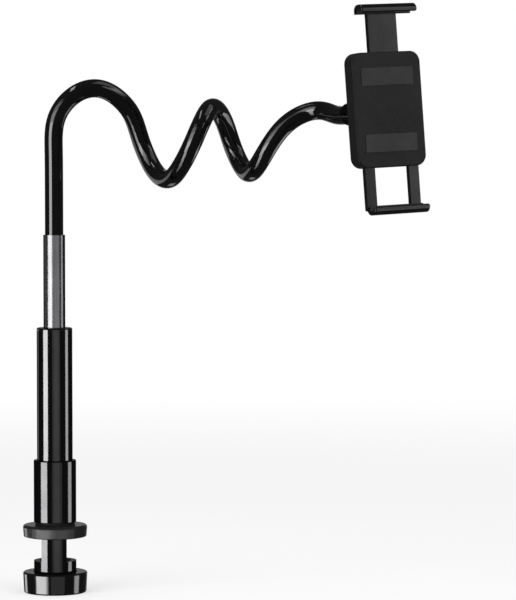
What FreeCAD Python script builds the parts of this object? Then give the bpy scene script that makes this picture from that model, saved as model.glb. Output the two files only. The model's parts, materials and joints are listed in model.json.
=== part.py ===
import FreeCAD, Part
import math
import os
import Sketcher

# Tablet holder on a gooseneck, held to a table by a screw clamp. Millimetres and degrees.
# The origin lies on the mast's axis in the plane where the upper jaw meets the table top.
# +Z is up, +X points along the table's edge towards the holder, and -Y away from the table.

SIZES = {
    # Clearances
    "fixed_gap": 0.04,
    "running_gap": 0.05,
    "seat_gap": 0.3,
    "slide_gap": 0.35,
    # Clamp body: a slotted tube with a spigot for the mast
    "column_radius": 20.0,
    "throat_height": 21.5,
    "spine_face": 16.1,
    "ring_drop": 0.8,
    "ring_height": 22.7,
    "plunger_bore": 14.8,
    "collar_height": 5.0,
    "flange_seat_radius": 16.5,
    "spigot_top": 66.2,
    # Upper jaw
    "flange_radius": 30.5,
    "flange_foot_radius": 29.6,
    "flange_height": 11.7,
    "flange_round": 2.4,
    "rim_round": 0.8,
    "rim_lift": 0.4,
    "jaw_pad_radius": 27.0,
    "jaw_pad_height": 1.8,
    # Plunger with its pad and lead screw
    "plunger_pad_radius": 14.0,
    "plunger_pad_height": 2.0,
    "plunger_roof": 3.3,
    "plunger_length": 21.0,
    "plunger_cavity": 11.2,
    "screw_radius": 6.0,
    "screw_length": 19.2,
    "screw_tip_chamfer": 1.0,
    "screw_spigot_radius": 5.0,
    "guide_screw_radius": 2.0,
    "guide_screw_level": 5.5,
    "guide_screw_reach": 1.0,
    "guide_slot_roof": 1.1,
    "guide_slot_play": 0.2,
    # Knob with its threaded hub
    "end_ring_radius": 16.8,
    "end_ring_height": 3.0,
    "thrust_washer_height": 1.0,
    "hub_radius": 9.0,
    "hub_collar_radius": 10.8,
    "hub_collar_height": 2.5,
    "hub_top_gap": 0.4,
    "hub_foot": 1.5,
    "hub_floor": 3.0,
    "knob_radius": 30.4,
    "knob_foot_radius": 29.4,
    "knob_top_drop": 10.5,
    "knob_height": 19.7,
    "knob_bore_gap": 0.8,
    "knob_top_round": 1.6,
    "knob_foot_round": 1.5,
    "knob_screw_radius": 1.5,
    "knob_screw_head": 2.75,
    "knob_screw_sink": 1.4,
    "knob_screw_length": 4.8,
    "knob_screw_circle": 5.0,
    # Mast
    "washer_height": 2.4,
    "washer_inset": 1.2,
    "sleeve_top": 72.8,
    "sleeve_round": 0.9,
    "mast_tube_radius": 16.8,
    "mast_tube_wall": 3.0,
    "mast_tube_lift": 0.7,
    "mast_tube_top": 195.0,
    "cap_height": 2.8,
    "cap_round": 1.5,
    "swivel_disc_height": 3.5,
    "swivel_bolt_radius": 4.0,
    "swivel_bolt_depth": 20.0,
    "swivel_bolt_head_radius": 6.5,
    "swivel_bolt_head_height": 5.0,
    "mast_bush_length": 23.0,
    "inner_tube_radius": 10.3,
    "inner_tube_wall": 1.5,
    "inner_tube_foot": 135.0,
    "inner_tube_top": 285.0,
    "foot_bush_length": 12.0,
    # Gooseneck
    "neck_radius": 8.65,
    "neck_wall": 3.6,
    "core_gap": 0.1,
    "neck_insert": 30.0,
    "core_insert": 44.0,
    "plug_length": 18.0,
    "bend_length": 28.0,
    "first_bend_along": 75.0,
    "second_bend_spacing": 169.0,
    "third_bend_spacing": 100.0,
    "fourth_bend_spacing": 122.0,
    "fifth_bend_spacing": 102.0,
    "end_run": 38.0,
    "end_reach": 285.0,
    "end_depth": -77.0,
    "end_rise": 114.2,
    # Way that the holder faces
    "holder_yaw": 29.1,
    "holder_lean": -3.65,
    "holder_roll": -2.5,
    # Ball head, measured back from the middle of the tablet's slot
    "ball_radius": 10.0,
    "ball_depth": 32.0,
    "stud_radius": 3.8,
    "stud_length": 17.5,
    "stud_shank_radius": 3.5,
    "stud_shank_length": 5.6,
    "ferrule_radius": 10.5,
    "ferrule_front": 6.0,
    "ferrule_cover": 20.0,
    "ferrule_round": 1.5,
    "socket_flange_radius": 21.0,
    "socket_flange_height": 3.0,
    "socket_radius": 15.0,
    "socket_wall": 2.55,
    "socket_rim": 2.0,
    "socket_floor": 2.0,
    "seat_rim_drop": 1.5,
    "ring_radius": 18.0,
    "ring_front_gap": 2.5,
    "ring_lip_start": 3.3,
    "ring_throat_depth": 6.0,
    "ring_throat_radius": 8.0,
    "ring_back_depth": 10.0,
    "ring_mouth_radius": 10.2,
    "ring_chamfer": 0.8,
    "flute_radius": 2.4,
    "flute_depth": 0.6,
    "socket_screw_radius": 1.5,
    "socket_screw_head": 2.7,
    "socket_screw_head_height": 1.8,
    "socket_screw_circle": 18.0,
    "socket_screw_length": 7.5,
    # Tablet that the holder takes
    "tablet_width": 178.5,
    "tablet_half_depth": 3.1,
    # Holder housing
    "housing_half_width": 36.0,
    "housing_half_height": 52.0,
    "housing_corner": 10.0,
    "housing_face": 3.6,
    "housing_wall": 2.0,
    "housing_back": 16.0,
    "housing_edge_round": 1.4,
    "back_cover_height": 2.5,
    "cover_edge_round": 1.6,
    "boss_radius": 2.9,
    "boss_across": 32.0,
    "boss_up": 45.6,
    "cover_screw_radius": 1.2,
    "cover_screw_head": 2.3,
    "cover_screw_sink": 1.2,
    "cover_screw_length": 10.0,
    "socket_boss_radius": 3.4,
    "socket_boss_length": 3.6,
    "face_pad_half_width": 27.0,
    "face_pad_low": 22.0,
    "face_pad_high": 38.0,
    "face_pad_recess": 0.4,
    # Arms and jaws
    "arm_front": 6.0,
    "arm_thickness": 5.0,
    "tongue_half_width": 15.0,
    "prong_inner": 18.0,
    "prong_outer": 28.2,
    "rail_depth": 6.2,
    "rail_width": 1.6,
    "arm_inner_end": 15.0,
    "arm_top_margin": 3.8,
    "arm_corner": 2.0,
    "jaw_half_width": 29.3,
    "jaw_top": 5.45,
    "jaw_roof_gap": 1.35,
    "jaw_front": 8.4,
    "jaw_wall": 2.2,
    "jaw_lip_overlap": 2.2,
    "jaw_back_overlap": 3.2,
    "jaw_back_face": 4.1,
    "jaw_front_round": 5.5,
    "jaw_back_round": 5.5,
    "jaw_lip_round": 1.9,
    "jaw_end_round": 1.6,
    "jaw_pad_wall": 1.0,
    "jaw_pad_inset": 0.9,
    "jaw_pad_end_gap": 2.0,
    "post_radius": 1.6,
    "post_length": 4.4,
    "post_gap": 0.15,
    "post_end_gap": 0.5,
    "spring_radius": 2.1,
    "spring_wire": 0.6,
    "spring_eye": 2.9,
    "spring_eye_thickness": 1.0,
    "spring_depth": 13.5,
    "arm_post_height": 22.0,
    "anchor_post_height": 42.0,
}

# Way of the neck's centre line, from the mast's top: across, away from the viewer, up
NECK_ROUTE = [
    (0, 0, 97),
    (11, 4, 124),
    (39, 14, 138),
    (65, 26, 123),
    (84, 35, 79),
    (93, 26, 61),
    (107, 4, 52),
    (119, -18, 64),
    (128, -27, 80),
    (140, -22, 107),
    (149, 0, 120),
    (159, 24, 108),
    (169, 36, 79),
    (176, 27, 65),
    (184, 6, 58),
    (193, -14, 68),
    (203, -19, 85),
    (222, -17, 107),
    (245, -19, 117),
]
KNOB_SCREW_COUNT = 3
FLUTE_COUNT = 12
SOCKET_SCREW_COUNT = 4
CORNERS = [(1, 1), (-1, 1), (-1, -1), (1, -1)]
SLOT_MARGIN = 1.0

os.makedirs("parts", exist_ok=True)
doc = FreeCAD.newDocument("TabletHolder")
Vector = FreeCAD.Vector


# Sizes with their formulas


class Size:
    """A number with the sheet formula that gives it."""

    def __init__(self, value, formula):
        self.value = float(value)
        self.formula = formula

    def __add__(self, other):
        return Size(self.value + number(other), "(%s + %s)" % (self.formula, formula(other)))

    def __radd__(self, other):
        return Size(number(other) + self.value, "(%s + %s)" % (formula(other), self.formula))

    def __sub__(self, other):
        return Size(self.value - number(other), "(%s - %s)" % (self.formula, formula(other)))

    def __rsub__(self, other):
        return Size(number(other) - self.value, "(%s - %s)" % (formula(other), self.formula))

    def __mul__(self, other):
        return Size(self.value * number(other), "(%s * %s)" % (self.formula, formula(other)))

    def __truediv__(self, other):
        return Size(self.value / number(other), "(%s / %s)" % (self.formula, formula(other)))

    def __neg__(self):
        return Size(-self.value, "(0 - %s)" % self.formula)


def number(size):
    return size.value if isinstance(size, Size) else float(size)


def formula(size):
    return size.formula if isinstance(size, Size) else "(%r)" % size


class SizeSheet:
    """The spreadsheet of driving sizes; each is read as an attribute."""

    def __init__(self, rows):
        self.sheet = doc.addObject("Spreadsheet::Sheet", "Sizes")
        for row, (alias, value) in enumerate(rows.items(), 1):
            self.sheet.set("A%d" % row, alias)
            self.sheet.set("B%d" % row, str(value))
            self.sheet.setAlias("B%d" % row, alias)
            setattr(self, alias, Size(value, "Sizes." + alias))


d = SizeSheet(SIZES)
doc.recompute()


# Modelling helpers


def bind(target, path, size):
    if isinstance(size, Size):
        target.setExpression(path, size.formula)


class Piece:
    """A body whose sketches lie on its own origin planes."""

    def __init__(self, name, placement=None):
        self.body = doc.addObject("PartDesign::Body", name)
        self.body.Label = name
        if placement is not None:
            self.body.Placement = placement
        self.steps = 0

    def feature(self, kind, word):
        self.steps += 1
        return self.body.newObject(kind, "%s_%s_%d" % (self.body.Name, word, self.steps))

    def sketch(self, role, outlines, level=0):
        """Closed outlines on the plane, moved along its normal to the level."""
        sketch = self.feature("Sketcher::SketchObject", "sketch")
        plane = [item for item in self.body.Origin.OriginFeatures if item.Role == role][0]
        sketch.AttachmentSupport = [(plane, "")]
        sketch.MapMode = "FlatFace"
        sketch.AttachmentOffset = FreeCAD.Placement(Vector(0, 0, number(level)), FreeCAD.Rotation())
        bind(sketch, "AttachmentOffset.Base.z", level)
        for outline in outlines:
            if outline[0] == "circle":
                draw_circle(sketch, *outline[1:])
            else:
                draw_outline(sketch, outline)
        return sketch

    def turned(self, outline):
        """A solid of revolution about Z from an outline of (radius, height) corners."""
        sketch = self.sketch("XZ_Plane", [outline])
        revolution = self.feature("PartDesign::Revolution", "revolution")
        revolution.Profile = sketch
        revolution.ReferenceAxis = (sketch, ["V_Axis"])
        revolution.Angle = 360
        return self

    def extrude(self, kind, role, outlines, low, high):
        """A pad or pocket between two levels along X, Y or Z."""
        cuts = kind == "PartDesign::Pocket"
        before = self.volume() if cuts else 0.0
        start = -high if role == "XZ_Plane" else low
        sketch = self.sketch(role, outlines, start)
        feature = self.feature(kind, "extrusion")
        feature.Profile = sketch
        feature.Length = number(high - low)
        bind(feature, "Length", high - low)
        feature.Reversed = cuts
        if cuts and self.volume() >= before:
            raise ValueError("pocket cuts nothing: " + feature.Name)
        return feature

    def pad(self, role, outlines, low, high):
        self.extrude("PartDesign::Pad", role, outlines, low, high)
        return self

    def pocket(self, role, outlines, low, high):
        self.extrude("PartDesign::Pocket", role, outlines, low, high)
        return self

    def polar_pocket(self, role, outlines, low, high, count):
        """A pocket repeated round Z."""
        original = self.extrude("PartDesign::Pocket", role, outlines, low, high)
        pattern = self.feature("PartDesign::PolarPattern", "pattern")
        pattern.Originals = [original]
        pattern.Axis = (original.Profile[0], ["N_Axis"])
        pattern.Angle = 360
        pattern.Occurrences = count
        self.body.Tip = pattern
        return self

    def fillet(self, radius, wanted):
        """Round every edge for which wanted(edge) is true."""
        doc.recompute()
        base = self.body.Tip
        names = ["Edge%d" % i for i, edge in enumerate(base.Shape.Edges, 1) if wanted(edge)]
        if not names:
            raise ValueError("no edges to round on " + self.body.Label)
        feature = self.feature("PartDesign::Fillet", "fillet")
        feature.Base = (base, names)
        feature.Radius = number(radius)
        bind(feature, "Radius", radius)
        return self

    def volume(self):
        doc.recompute()
        return self.body.Shape.Volume


def place_point(sketch, geometry, point, across, up):
    """Tie a point of the sketch to its two coordinates."""
    for axis, size in (("DistanceX", across), ("DistanceY", up)):
        index = sketch.addConstraint(Sketcher.Constraint(axis, -1, 1, geometry, point, number(size)))
        bind(sketch, "Constraints[%d]" % index, size)


def draw_circle(sketch, across, up, radius):
    centre = Vector(number(across), number(up), 0)
    index = sketch.addGeometry(Part.Circle(centre, Vector(0, 0, 1), number(radius)), False)
    place_point(sketch, index, 3, across, up)
    constraint = sketch.addConstraint(Sketcher.Constraint("Radius", index, number(radius)))
    bind(sketch, "Constraints[%d]" % constraint, radius)


def draw_outline(sketch, corners):
    """Lines between corners (across, up) or (across, up, radius of the rounding)."""
    points = [Vector(number(c[0]), number(c[1]), 0) for c in corners]
    rounds = [number(c[2]) if len(c) > 2 else 0.0 for c in corners]
    count = len(corners)
    trims = []
    for i in range(count):
        back = (points[i - 1] - points[i]).normalize()
        ahead = (points[(i + 1) % count] - points[i]).normalize()
        half = back.getAngle(ahead) / 2
        reach = rounds[i] / math.tan(half)
        centre = points[i] + (back + ahead).normalize() * (rounds[i] / math.sin(half))
        left_turn = (-back).cross(ahead).z > 0
        trims.append((points[i] + back * reach, points[i] + ahead * reach, centre, left_turn))
    lines = []
    for i in range(count):
        segment = Part.LineSegment(trims[i][1], trims[(i + 1) % count][0])
        lines.append(sketch.addGeometry(segment, False))
    for i in range(count):
        before = lines[i - 1]
        after = lines[i]
        if rounds[i] == 0:
            sketch.addConstraint(Sketcher.Constraint("Coincident", before, 2, after, 1))
            place_point(sketch, after, 1, corners[i][0], corners[i][1])
            continue
        entry, leave, centre, left_turn = trims[i]
        first, last = (entry, leave) if left_turn else (leave, entry)
        start = math.atan2(first.y - centre.y, first.x - centre.x)
        end = math.atan2(last.y - centre.y, last.x - centre.x)
        circle = Part.Circle(centre, Vector(0, 0, 1), rounds[i])
        arc = sketch.addGeometry(Part.ArcOfCircle(circle, start, end), False)
        sketch.addConstraint(Sketcher.Constraint("Tangent", before, 2, arc, 1 if left_turn else 2))
        sketch.addConstraint(Sketcher.Constraint("Tangent", after, 1, arc, 2 if left_turn else 1))
        index = sketch.addConstraint(Sketcher.Constraint("Radius", arc, rounds[i]))
        bind(sketch, "Constraints[%d]" % index, corners[i][2])
        corner = sketch.addGeometry(Part.Point(points[i]), True)
        sketch.addConstraint(Sketcher.Constraint("PointOnObject", corner, 1, before))
        sketch.addConstraint(Sketcher.Constraint("PointOnObject", corner, 1, after))
        place_point(sketch, corner, 1, corners[i][0], corners[i][1])


def box(low_across, high_across, low_up, high_up, corner=None):
    """A rectangle, with rounded corners if a radius is given."""
    ends = [(low_across, low_up), (high_across, low_up), (high_across, high_up), (low_across, high_up)]
    return [end if corner is None else end + (corner,) for end in ends]


def circle(across, up, radius):
    return ("circle", across, up, radius)


def tube_outline(inner, outer, low, high):
    return [(inner, low), (outer, low), (outer, high), (inner, high)]


def primitive(kind, name, **sizes):
    """A Part primitive whose properties follow the sheet."""
    item = doc.addObject("Part::" + kind, name)
    for key, size in sizes.items():
        setattr(item, key, number(size))
        bind(item, key, size)
    return item


def lift(item, height):
    """Move a primitive along Z with its size."""
    item.Placement.Base = Vector(0, 0, number(height))
    bind(item, "Placement.Base.z", height)
    return item


# Way of the neck: tangent arcs through the route's points


class Arc:
    """A stretch of the way: a straight run or an arc, from a point and a heading to a point."""

    def __init__(self, start, heading, end):
        chord = end - start
        self.start = start
        self.heading = heading
        half_turn = heading.getAngle(chord)
        self.straight = half_turn < 1e-4
        if self.straight:
            self.length = chord.Length
            return
        self.radius = chord.Length / 2 / math.sin(half_turn)
        self.length = 2 * half_turn * self.radius
        inward = chord - heading * heading.dot(chord)
        self.inward = inward.normalize()

    def point(self, distance):
        if self.straight:
            return self.start + self.heading * distance
        turn = distance / self.radius
        across = self.inward * (self.radius * (1 - math.cos(turn)))
        return self.start + self.heading * (self.radius * math.sin(turn)) + across

    def direction(self, distance):
        if self.straight:
            return self.heading
        turn = distance / self.radius
        return self.heading * math.cos(turn) + self.inward * math.sin(turn)

    def edge(self, low, high):
        if self.straight:
            return Part.LineSegment(self.point(low), self.point(high)).toShape()
        middle = self.point((low + high) / 2)
        return Part.Arc(self.point(low), middle, self.point(high)).toShape()


def unit(vector):
    return vector / vector.Length


def heading_through(before, here, after):
    """Heading at the middle point of the circle through three points."""
    arriving = here - before
    leaving = after - here
    blend = unit(arriving) * leaving.Length + unit(leaving) * arriving.Length
    return unit(blend)


def two_arcs(start, start_heading, end, end_heading):
    """Two tangent arcs that join the points with the given headings."""
    chord = end - start
    both = start_heading + end_heading
    bend = 2 * (1 - start_heading.dot(end_heading))
    if bend < 1e-9:
        return [Arc(start, start_heading, end)]
    reach = (math.sqrt(chord.dot(both) ** 2 + bend * chord.dot(chord)) - chord.dot(both)) / bend
    first_corner = start + start_heading * reach
    second_corner = end - end_heading * reach
    middle = (first_corner + second_corner) / 2
    return [
        Arc(start, start_heading, middle),
        Arc(middle, unit(second_corner - first_corner), end),
    ]


class Way:
    """The neck's centre line as a chain of arcs, measured along its length."""

    def __init__(self, points, first_heading, last_heading):
        headings = [first_heading, first_heading]
        for i in range(2, len(points) - 2):
            headings.append(heading_through(points[i - 1], points[i], points[i + 1]))
        headings += [last_heading, last_heading]
        self.arcs = []
        for i in range(len(points) - 1):
            self.arcs += two_arcs(points[i], headings[i], points[i + 1], headings[i + 1])
        self.length = sum(arc.length for arc in self.arcs)

    def locate(self, distance):
        for arc in self.arcs:
            if distance <= arc.length or arc is self.arcs[-1]:
                return arc, distance
            distance -= arc.length

    def point(self, distance):
        arc, rest = self.locate(distance)
        return arc.point(rest)

    def direction(self, distance):
        arc, rest = self.locate(distance)
        return arc.direction(rest)

    def wire(self, low, high):
        edges = []
        passed = 0.0
        for arc in self.arcs:
            start = max(low - passed, 0.0)
            end = min(high - passed, arc.length)
            if end - start > 1e-6:
                edges.append(arc.edge(start, end))
            passed += arc.length
        return Part.Wire(edges)

    def tightest(self):
        return min(arc.radius for arc in self.arcs if not arc.straight)


def rod(way, low, high, radius):
    """A round rod along the way between two distances."""
    section = Part.Wire([Part.Circle(way.point(low), way.direction(low), radius).toShape()])
    return way.wire(low, high).makePipeShell([section], True, False)


# Levels and frames that several pieces share

ring_top = -(d.throat_height + d.ring_drop)
ring_foot = ring_top - d.ring_height - d.end_ring_height
end_ring_top = ring_foot + d.end_ring_height
plunger_top = -(d.throat_height + d.plunger_pad_height)
plunger_foot = plunger_top - d.plunger_length
plunger_ceiling = plunger_top - d.plunger_roof
collar_foot = end_ring_top + d.thrust_washer_height
knob_top = ring_top - d.knob_top_drop
knob_foot = knob_top - d.knob_height
knob_floor = ring_foot - d.seat_gap
hub_foot = knob_floor - d.hub_foot
hub_top = plunger_ceiling - d.hub_top_gap
screw_foot = plunger_ceiling - d.screw_length
sleeve_foot = d.flange_height + d.washer_height
mast_bore = d.mast_tube_radius - d.mast_tube_wall
spigot_radius = mast_bore - d.running_gap
disc_foot = d.spigot_top + d.seat_gap
disc_top = disc_foot + d.swivel_disc_height
mast_top = d.mast_tube_top + d.cap_height
inner_bore = d.inner_tube_radius - d.inner_tube_wall
core_radius = d.neck_radius - d.neck_wall - d.core_gap
tablet_edge = d.tablet_width / 2
jaw_roof = tablet_edge + d.jaw_roof_gap
arm_back = d.arm_front + d.arm_thickness
arm_post_end = d.housing_back - d.post_end_gap

mast_end = Vector(0, 0, d.inner_tube_top.value)
turn_yaw = FreeCAD.Rotation(Vector(0, 0, 1), d.holder_yaw.value)
turn_lean = FreeCAD.Rotation(Vector(1, 0, 0), d.holder_lean.value)
turn_roll = FreeCAD.Rotation(Vector(0, 1, 0), d.holder_roll.value)
holder_turn = turn_yaw.multiply(turn_lean).multiply(turn_roll)
facing = holder_turn.multVec(Vector(0, -1, 0))
neck_end = mast_end + Vector(d.end_reach.value, d.end_depth.value, d.end_rise.value)
stud_end_depth = d.ball_depth + d.stud_length + d.ferrule_front
holder_centre = neck_end + facing * stud_end_depth.value
holder_place = FreeCAD.Placement(holder_centre, holder_turn)
half_turn = FreeCAD.Placement(Vector(), FreeCAD.Rotation(Vector(0, 1, 0), 180))
turned_over = holder_place.multiply(half_turn)
# In the head's frame +Z points back along the stud, from the middle of the tablet's slot
head_turn = holder_turn.multiply(FreeCAD.Rotation(Vector(1, 0, 0), -90))
head_place = FreeCAD.Placement(holder_centre, head_turn)

route = [mast_end] + [mast_end + Vector(*point) for point in NECK_ROUTE]
route += [neck_end - facing * d.end_run.value, neck_end]
neck_way = Way(route, Vector(0, 0, 1), facing)


# Table clamp


def clamp_body():
    piece = Piece("clamp_body")
    seat_top = d.jaw_pad_height + d.collar_height
    piece.turned([
        (0, ring_foot),
        (d.column_radius, ring_foot),
        (d.column_radius, seat_top),
        (d.flange_seat_radius, seat_top),
        (d.flange_seat_radius, d.flange_height),
        (spigot_radius, d.flange_height),
        (spigot_radius, d.spigot_top),
        (0, d.spigot_top),
    ])
    side = d.column_radius + SLOT_MARGIN
    piece.pocket("XY_Plane", [box(-side, side, -d.spine_face, side)], ring_top, d.jaw_pad_height)
    piece.pocket("XY_Plane", [circle(0, 0, d.plunger_bore)], end_ring_top, ring_top)
    end_bore = d.end_ring_radius + d.fixed_gap
    piece.pocket("XY_Plane", [circle(0, 0, end_bore)], ring_foot, end_ring_top)
    bolt_bore = d.swivel_bolt_radius + d.fixed_gap
    bolt_foot = d.spigot_top - d.swivel_bolt_depth - d.seat_gap
    piece.pocket("XY_Plane", [circle(0, 0, bolt_bore)], bolt_foot, d.spigot_top)
    guide_bore = d.guide_screw_radius + d.fixed_gap
    guide_level = ring_top - d.guide_screw_level
    piece.pocket("XZ_Plane", [circle(0, guide_level, guide_bore)], d.plunger_cavity, side)
    return piece.body


def upper_flange():
    bore = d.flange_seat_radius + d.fixed_gap
    recess_bore = d.column_radius + d.fixed_gap
    seat_top = d.jaw_pad_height + d.collar_height + d.fixed_gap
    rim = d.jaw_pad_radius + d.fixed_gap
    piece = Piece("upper_flange").turned([
        (recess_bore, d.jaw_pad_height),
        (rim, d.jaw_pad_height),
        (rim, d.rim_lift),
        (d.flange_foot_radius, d.rim_lift, d.rim_round),
        (d.flange_radius, d.flange_height, d.flange_round),
        (bore, d.flange_height),
        (bore, seat_top),
        (recess_bore, seat_top),
    ])
    return piece.body


def upper_flange_pad():
    piece = Piece("upper_flange_pad")
    piece.pad("XY_Plane", [circle(0, 0, d.jaw_pad_radius)], Size(0, "0"), d.jaw_pad_height)
    half_chord = Size(
        math.sqrt(d.column_radius.value ** 2 - d.spine_face.value ** 2),
        "sqrt(%s^2 - %s^2)" % (d.column_radius.formula, d.spine_face.formula),
    )
    half = half_chord + d.seat_gap
    front = -(d.column_radius + d.seat_gap)
    notch = box(-half, half, front, d.seat_gap - d.spine_face)
    piece.pocket("XY_Plane", [notch], Size(0, "0"), d.jaw_pad_height)
    return piece.body


def plunger():
    radius = d.plunger_bore - d.running_gap
    piece = Piece("plunger").turned([
        (d.plunger_cavity, plunger_foot),
        (radius, plunger_foot),
        (radius, plunger_top, d.rim_round),
        (d.screw_spigot_radius + d.fixed_gap, plunger_top),
        (d.screw_spigot_radius + d.fixed_gap, plunger_ceiling),
        (d.plunger_cavity, plunger_ceiling),
    ])
    half = d.guide_screw_radius + d.guide_slot_play
    slot_top = plunger_top - d.guide_slot_roof
    slot = box(-half, half, plunger_foot - SLOT_MARGIN, slot_top)
    piece.pocket("XZ_Plane", [slot], d.plunger_cavity - SLOT_MARGIN, radius + SLOT_MARGIN)
    return piece.body


def plunger_pad():
    piece = Piece("plunger_pad").turned([
        (0, plunger_top),
        (d.plunger_pad_radius, plunger_top),
        (d.plunger_pad_radius, -d.throat_height, d.rim_round),
        (0, -d.throat_height),
    ])
    return piece.body


def clamp_screw():
    tip = d.screw_radius - d.screw_tip_chamfer
    piece = Piece("clamp_screw").turned([
        (0, screw_foot),
        (tip, screw_foot),
        (d.screw_radius, screw_foot + d.screw_tip_chamfer),
        (d.screw_radius, plunger_ceiling),
        (d.screw_spigot_radius, plunger_ceiling),
        (d.screw_spigot_radius, plunger_top - d.fixed_gap),
        (0, plunger_top - d.fixed_gap),
    ])
    return piece.body


def guide_screw():
    level = ring_top - d.guide_screw_level
    piece = Piece("guide_screw")
    inner_end = d.plunger_bore - d.guide_screw_reach
    piece.pad("XZ_Plane", [circle(0, level, d.guide_screw_radius)], inner_end, d.column_radius - d.seat_gap)
    return piece.body


def end_ring():
    bore = d.hub_radius + d.running_gap
    return Piece("end_ring").turned(tube_outline(bore, d.end_ring_radius, ring_foot, end_ring_top)).body


def thrust_washer():
    bore = d.hub_radius + d.running_gap
    outline = tube_outline(bore, d.hub_collar_radius, end_ring_top, collar_foot)
    return Piece("thrust_washer").turned(outline).body


def knob_hub():
    bore = d.screw_radius + d.running_gap
    bore_foot = hub_foot + d.hub_floor
    collar_top = collar_foot + d.hub_collar_height
    piece = Piece("knob_hub").turned([
        (0, hub_foot),
        (d.hub_radius, hub_foot),
        (d.hub_radius, collar_foot),
        (d.hub_collar_radius, collar_foot),
        (d.hub_collar_radius, collar_top),
        (d.hub_radius, collar_top),
        (d.hub_radius, hub_top),
        (bore, hub_top),
        (bore, bore_foot),
        (0, bore_foot),
    ])
    hole = circle(d.knob_screw_circle, 0, d.knob_screw_radius + d.fixed_gap)
    piece.polar_pocket("XY_Plane", [hole], hub_foot, bore_foot, KNOB_SCREW_COUNT)
    return piece.body


def knob():
    bore = d.column_radius + d.knob_bore_gap
    hub_bore = d.hub_radius + d.fixed_gap
    piece = Piece("knob").turned([
        (0, knob_foot),
        (d.knob_foot_radius, knob_foot, d.knob_foot_round),
        (d.knob_radius, knob_top, d.knob_top_round),
        (bore, knob_top),
        (bore, knob_floor),
        (hub_bore, knob_floor),
        (hub_bore, hub_foot),
        (0, hub_foot),
    ])
    hole = circle(d.knob_screw_circle, 0, d.knob_screw_radius + d.fixed_gap)
    piece.polar_pocket("XY_Plane", [hole], knob_foot, hub_foot, KNOB_SCREW_COUNT)
    sink = circle(d.knob_screw_circle, 0, d.knob_screw_head + d.fixed_gap)
    sink_top = knob_foot + d.knob_screw_sink
    piece.polar_pocket("XY_Plane", [sink], knob_foot, sink_top, KNOB_SCREW_COUNT)
    return piece.body


def screw_set(name, places, radius, head, head_low, head_high, far_end, placement=None):
    """Identical pan-head screws, each a separate solid of one group."""
    solids = []
    for i, (across, up) in enumerate(places):
        low = min(head_low.value, head_high.value)
        head_height = abs(head_high.value - head_low.value)
        head_solid = Part.makeCylinder(head.value, head_height, Vector(across, up, low))
        shank_low = min(head_low.value, far_end.value)
        shank_height = abs(far_end.value - head_low.value)
        shank = Part.makeCylinder(radius.value, shank_height, Vector(across, up, shank_low))
        solids.append(head_solid.fuse(shank).removeSplitter().Solids[0])
    item = doc.addObject("Part::Feature", name)
    item.Label = name
    item.Shape = Part.makeCompound(solids)
    if placement is not None:
        item.Placement = placement
    return item


def knob_screws():
    reach = d.knob_screw_circle.value
    turns = [2 * math.pi * i / KNOB_SCREW_COUNT for i in range(KNOB_SCREW_COUNT)]
    places = [(reach * math.cos(turn), reach * math.sin(turn)) for turn in turns]
    head_top = knob_foot + d.knob_screw_sink
    return screw_set(
        "knob_screws", places, d.knob_screw_radius, d.knob_screw_head,
        knob_foot, head_top, knob_foot + d.knob_screw_length,
    )


# Mast


def swivel_washer():
    bore = spigot_radius + d.seat_gap
    outer = d.column_radius - d.washer_inset
    return Piece("swivel_washer").turned(tube_outline(bore, outer, d.flange_height, sleeve_foot)).body


def lower_sleeve():
    bore = d.mast_tube_radius + d.fixed_gap
    piece = Piece("lower_sleeve").turned([
        (bore, sleeve_foot),
        (d.column_radius, sleeve_foot, d.rim_round),
        (d.column_radius, d.sleeve_top, d.sleeve_round),
        (bore, d.sleeve_top),
    ])
    return piece.body


def mast_tube():
    foot = sleeve_foot + d.mast_tube_lift
    return Piece("mast_tube").turned(tube_outline(mast_bore, d.mast_tube_radius, foot, d.mast_tube_top)).body


def mast_top_cap():
    bore = d.inner_tube_radius + d.seat_gap
    piece = Piece("mast_top_cap").turned([
        (bore, d.mast_tube_top),
        (d.mast_tube_radius, d.mast_tube_top),
        (d.mast_tube_radius, mast_top, d.cap_round),
        (bore, mast_top),
    ])
    return piece.body


def mast_bush():
    bore = d.inner_tube_radius + d.running_gap
    outer = mast_bore - d.fixed_gap
    foot = d.mast_tube_top - d.mast_bush_length
    return Piece("mast_bush").turned(tube_outline(bore, outer, foot, d.mast_tube_top)).body


def swivel_disc():
    bore = d.swivel_bolt_radius + d.seat_gap
    outer = mast_bore - d.fixed_gap
    return Piece("swivel_disc").turned(tube_outline(bore, outer, disc_foot, disc_top)).body


def swivel_bolt():
    head_foot = disc_top + d.seat_gap
    head_top = head_foot + d.swivel_bolt_head_height
    foot = d.spigot_top - d.swivel_bolt_depth
    piece = Piece("swivel_bolt").turned([
        (0, foot),
        (d.swivel_bolt_radius, foot),
        (d.swivel_bolt_radius, head_foot),
        (d.swivel_bolt_head_radius, head_foot),
        (d.swivel_bolt_head_radius, head_top, d.rim_round),
        (0, head_top),
    ])
    return piece.body


def inner_tube():
    outline = tube_outline(inner_bore, d.inner_tube_radius, d.inner_tube_foot, d.inner_tube_top)
    return Piece("inner_tube").turned(outline).body


def inner_tube_bush():
    bore = d.inner_tube_radius + d.fixed_gap
    outer = mast_bore - d.running_gap
    top = d.inner_tube_foot + d.foot_bush_length
    return Piece("inner_tube_bush").turned(tube_outline(bore, outer, d.inner_tube_foot, top)).body


def neck_anchor_plug():
    top = d.inner_tube_top - d.neck_insert
    foot = top - d.plug_length
    core_foot = d.inner_tube_top - d.core_insert
    hole = core_radius + d.core_gap
    piece = Piece("neck_anchor_plug").turned([
        (0, foot),
        (inner_bore - d.fixed_gap, foot),
        (inner_bore - d.fixed_gap, top),
        (hole, top),
        (hole, core_foot),
        (0, core_foot),
    ])
    return piece.body


# Gooseneck


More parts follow.
